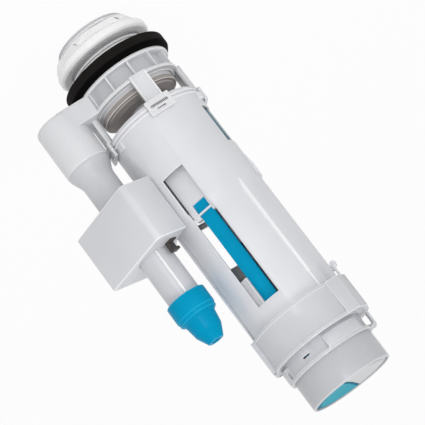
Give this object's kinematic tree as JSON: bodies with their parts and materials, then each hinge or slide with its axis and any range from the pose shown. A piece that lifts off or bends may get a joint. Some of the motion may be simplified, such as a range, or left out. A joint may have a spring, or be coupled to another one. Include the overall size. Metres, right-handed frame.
{
  "type": "toilet flush valve",
  "caption": "Dual flush valve for a toilet tank: threaded outlet with gasket and nut, windowed shell, side overflow pipe with float, and a split push button on top.",
  "frame": {"origin": "on the outlet axis, in the plane where the gasket meets the flange of the base", "axes": "+Z from the outlet up to the buttons, +X from the outlet axis to the overflow pipe"},
  "size_m": [0.1341, 0.0848, 0.3146],
  "materials": {
    "body_plastic": "moulded ABS, fine satin",
    "head_plastic": "moulded ABS, fine satin",
    "blue_plastic": "moulded, semi gloss",
    "white_plastic": "moulded, satin",
    "dark_plastic": "moulded, satin",
    "rubber": "matt rubber",
    "seal_rubber": "matt silicone",
    "steel": "stainless wire"
  },
  "bodies": {
    "valve_body": {"base": "body_plastic", "tank_gasket": "rubber", "body_shell": "body_plastic", "guide_spider": "body_plastic", "overflow_pipe": "body_plastic", "overflow_seal": "rubber", "overflow_cap": "blue_plastic"},
    "nut": {"lock_nut": "white_plastic"},
    "head": {"height_collar": "head_plastic", "button_ring": "head_plastic", "button_housing": "head_plastic", "rocker_pins": "steel", "full_button_spring": "steel", "half_button_spring": "steel", "pawl_pin": "steel"},
    "full_button": {"full_button": "head_plastic"},
    "half_button": {"half_button": "blue_plastic"},
    "full_rocker": {"full_rocker": "white_plastic"},
    "half_rocker": {"half_rocker": "white_plastic"},
    "full_rod": {"full_lift_rod": "blue_plastic"},
    "half_rod": {"half_lift_rod": "blue_plastic", "half_carriage": "body_plastic"},
    "plunger": {"spindle": "body_plastic", "seal_plate": "seal_rubber", "seal_washer": "seal_rubber", "seal_retainer": "body_plastic", "full_flush_float": "body_plastic"},
    "pipe_float": {"half_float": "body_plastic", "float_clip": "dark_plastic"},
    "pawl": {"height_pawl": "white_plastic"}
  },
  "joints": [
    {"name": "nut_turn", "type": "hinge", "parent": "valve_body", "child": "nut", "pos_m": [0, 0, -0.031], "axis": [0, 0, 1], "continuous": true},
    {"name": "head_height", "type": "slide", "parent": "valve_body", "child": "head", "axis": [0, 0, 1], "range_m": [-0.012, 0]},
    {"name": "full_button_press", "type": "slide", "parent": "head", "child": "full_button", "axis": [0, 0, 1], "range_m": [-0.005, 0], "stiffness_N_per_m": 250, "springref_m": 0.004, "deforming": ["full_button_spring"]},
    {"name": "half_button_press", "type": "slide", "parent": "head", "child": "half_button", "axis": [0, 0, 1], "range_m": [-0.005, 0], "stiffness_N_per_m": 250, "springref_m": 0.004, "deforming": ["half_button_spring"]},
    {"name": "full_rocker_turn", "type": "hinge", "parent": "head", "child": "full_rocker", "pos_m": [-0.01363, -0.00496, 0.2435], "axis": [-0.342, 0.9397, 0], "range_deg": [0, 32]},
    {"name": "half_rocker_turn", "type": "hinge", "parent": "head", "child": "half_rocker", "pos_m": [0.0079, -0.01216, 0.2435], "axis": [-0.8387, -0.5446, 0], "range_deg": [0, 32]},
    {"name": "full_rod_lift", "type": "slide", "parent": "head", "child": "full_rod", "axis": [0, 0, 1], "range_m": [0, 0.0074]},
    {"name": "half_rod_lift", "type": "slide", "parent": "head", "child": "half_rod", "axis": [0, 0, 1], "range_m": [0, 0.0074]},
    {"name": "plunger_lift", "type": "slide", "parent": "valve_body", "child": "plunger", "axis": [0, 0, 1], "range_m": [0, 0.0074]},
    {"name": "float_slide", "type": "slide", "parent": "valve_body", "child": "pipe_float", "axis": [0, 0, 1], "range_m": [-0.02, 0.024]},
    {"name": "pawl_turn", "type": "hinge", "parent": "head", "child": "pawl", "pos_m": [-0.0373, -0.01069, 0.216], "axis": [-0.2756, 0.9613, 0], "range_deg": [0, 25]}
  ],
  "couplings": [
    {"joint": "full_rocker_turn", "follows": "full_button_press", "rad_per_m": -111.11},
    {"joint": "full_rod_lift", "follows": "full_button_press", "ratio": -1.4667},
    {"joint": "plunger_lift", "follows": "full_button_press", "ratio": -1.4667},
    {"joint": "half_rocker_turn", "follows": "half_button_press", "rad_per_m": -111.11},
    {"joint": "half_rod_lift", "follows": "half_button_press", "ratio": -1.4667}
  ]
}
